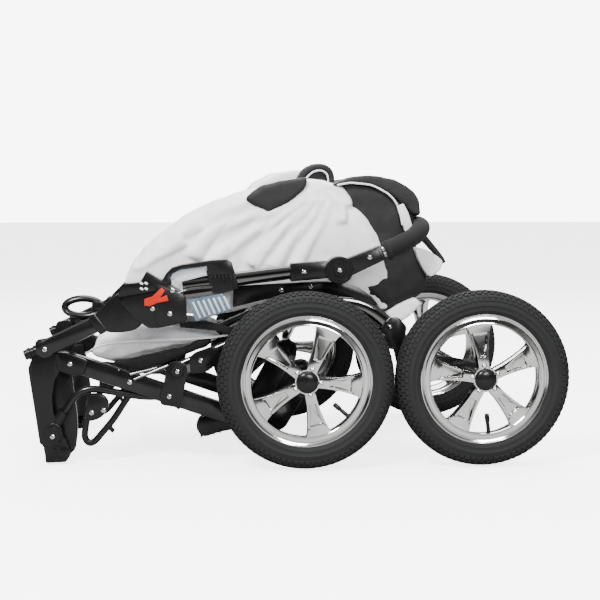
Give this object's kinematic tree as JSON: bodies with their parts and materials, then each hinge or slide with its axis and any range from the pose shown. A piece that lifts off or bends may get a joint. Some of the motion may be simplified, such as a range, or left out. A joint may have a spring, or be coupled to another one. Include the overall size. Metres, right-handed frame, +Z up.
{
  "type": "pet stroller",
  "caption": "Folded pet stroller: a tube frame that opens on air tyres, a folding handle with a tilting grip, and a packed cloth cabin.",
  "frame": {"origin": "on the floor, under the middle of the folded stroller", "axes": "+Z up, -X towards the front of the stroller in use, -Y its left side"},
  "size_m": [0.9578, 0.55, 0.5366],
  "materials": {
    "black_plastic": "moulded, fine grain",
    "black_tube": "satin powder coat",
    "dark_chrome": "polished, dark tint",
    "chrome": "polished",
    "tyre_rubber": "matte, dusty",
    "foam_grip": "matte foam",
    "trigger_red": "semi-gloss",
    "clear_plastic": "clear, ribbed",
    "white_cloth": "smooth coated weave",
    "charcoal_cloth": "matte weave"
  },
  "bodies": {
    "axle": {"front_axle": "chrome"},
    "front_frame": {"side_tube_left": "black_tube", "side_tube_right": "black_tube", "front_hub_bracket_left": "black_plastic", "front_hub_bracket_right": "black_plastic", "pivot_bracket_left": "black_plastic", "pivot_bracket_right": "black_plastic", "stand_leg_left": "black_plastic", "stand_leg_right": "black_plastic", "bow_tube_left": "black_tube", "bow_tube_right": "black_tube", "prop_bar_left": "black_plastic", "prop_bar_right": "black_plastic", "stand_cross_tube": "black_tube", "front_cross_tube": "black_tube"},
    "rear_leg": {"leg_tube_left": "dark_chrome", "leg_tube_right": "dark_chrome", "leg_fitting_left": "black_plastic", "leg_fitting_right": "black_plastic", "rear_arm_left": "black_plastic", "rear_arm_right": "black_plastic", "rear_axle": "chrome", "rear_cross_tube": "black_tube"},
    "handle": {"handle_leg_left": "black_tube", "handle_leg_right": "black_tube", "handle_cross_bar": "black_tube", "pull_ring": "black_plastic", "boot_left": "black_plastic", "boot_right": "black_plastic", "lock_housing_left": "black_plastic", "lock_housing_right": "black_plastic", "clear_cover_left": "clear_plastic", "clear_cover_right": "clear_plastic", "handle_tube_left": "dark_chrome", "handle_tube_right": "dark_chrome", "knuckle_lower_left": "black_plastic", "knuckle_lower_right": "black_plastic", "cabin_rail_left": "black_plastic", "cabin_rail_right": "black_plastic", "cabin": "white_cloth", "seat_pad": "white_cloth", "hood": "charcoal_cloth", "carry_loop": "charcoal_cloth"},
    "grip": {"knuckle_upper_left": "black_plastic", "knuckle_upper_right": "black_plastic", "grip_bar": "foam_grip"},
    "brake": {"brake_pedal": "black_plastic"},
    "front_left_wheel": {"front_left_tyre": "tyre_rubber", "front_left_rim": "chrome"},
    "rear_left_wheel": {"rear_left_tyre": "tyre_rubber", "rear_left_rim": "chrome"},
    "trigger_left": {"lock_trigger_left": "trigger_red"},
    "button_left": {"knuckle_button_left": "black_plastic"},
    "front_right_wheel": {"front_right_tyre": "tyre_rubber", "front_right_rim": "chrome"},
    "rear_right_wheel": {"rear_right_tyre": "tyre_rubber", "rear_right_rim": "chrome"},
    "trigger_right": {"lock_trigger_right": "trigger_red"},
    "button_right": {"knuckle_button_right": "black_plastic"}
  },
  "joints": [
    {"name": "frame_unfold", "type": "hinge", "parent": "axle", "child": "front_frame", "pos_m": [0.009, 0, 0.156], "axis": [0, 1, 0], "range_deg": [0, 130]},
    {"name": "leg_fold", "type": "hinge", "parent": "front_frame", "child": "rear_leg", "pos_m": [-0.214, 0, 0.164], "axis": [0, 1, 0], "range_deg": [-112.88, 0]},
    {"name": "handle_fold", "type": "hinge", "parent": "front_frame", "child": "handle", "pos_m": [-0.443, 0, 0.21], "axis": [0, 1, 0], "range_deg": [-164, 0]},
    {"name": "grip_tilt", "type": "hinge", "parent": "handle", "child": "grip", "pos_m": [0.073, 0, 0.345], "axis": [0, 1, 0], "range_deg": [0, 25]},
    {"name": "brake_press", "type": "hinge", "parent": "front_frame", "child": "brake", "pos_m": [-0.09, -0.1345, 0.071], "axis": [0, 1, 0], "range_deg": [-18, 0], "stiffness_Nm_per_rad": 2},
    {"name": "front_left_spin", "type": "hinge", "parent": "axle", "child": "front_left_wheel", "pos_m": [0.009, -0.2475, 0.156], "axis": [0, 1, 0], "continuous": true},
    {"name": "rear_left_spin", "type": "hinge", "parent": "rear_leg", "child": "rear_left_wheel", "pos_m": [0.3225, -0.2475, 0.156], "axis": [0, 1, 0], "continuous": true},
    {"name": "trigger_left_pull", "type": "slide", "parent": "handle", "child": "trigger_left", "axis": [0.9107, 0, 0.4131], "range_m": [0, 0.006], "stiffness_N_per_m": 400},
    {"name": "button_left_press", "type": "slide", "parent": "handle", "child": "button_left", "axis": [0, -1, 0], "range_m": [0, 0.0035], "stiffness_N_per_m": 400},
    {"name": "front_right_spin", "type": "hinge", "parent": "axle", "child": "front_right_wheel", "pos_m": [0.009, 0.2475, 0.156], "axis": [0, 1, 0], "continuous": true},
    {"name": "rear_right_spin", "type": "hinge", "parent": "rear_leg", "child": "rear_right_wheel", "pos_m": [0.3225, 0.2475, 0.156], "axis": [0, 1, 0], "continuous": true},
    {"name": "trigger_right_pull", "type": "slide", "parent": "handle", "child": "trigger_right", "axis": [0.9107, 0, 0.4131], "range_m": [0, 0.006], "stiffness_N_per_m": 400},
    {"name": "button_right_press", "type": "slide", "parent": "handle", "child": "button_right", "axis": [0, 1, 0], "range_m": [0, 0.0035], "stiffness_N_per_m": 400}
  ],
  "couplings": [
    {"joint": "leg_fold", "follows": "frame_unfold", "ratio": -0.8682},
    {"joint": "handle_fold", "follows": "frame_unfold", "ratio": -1.2615}
  ]
}
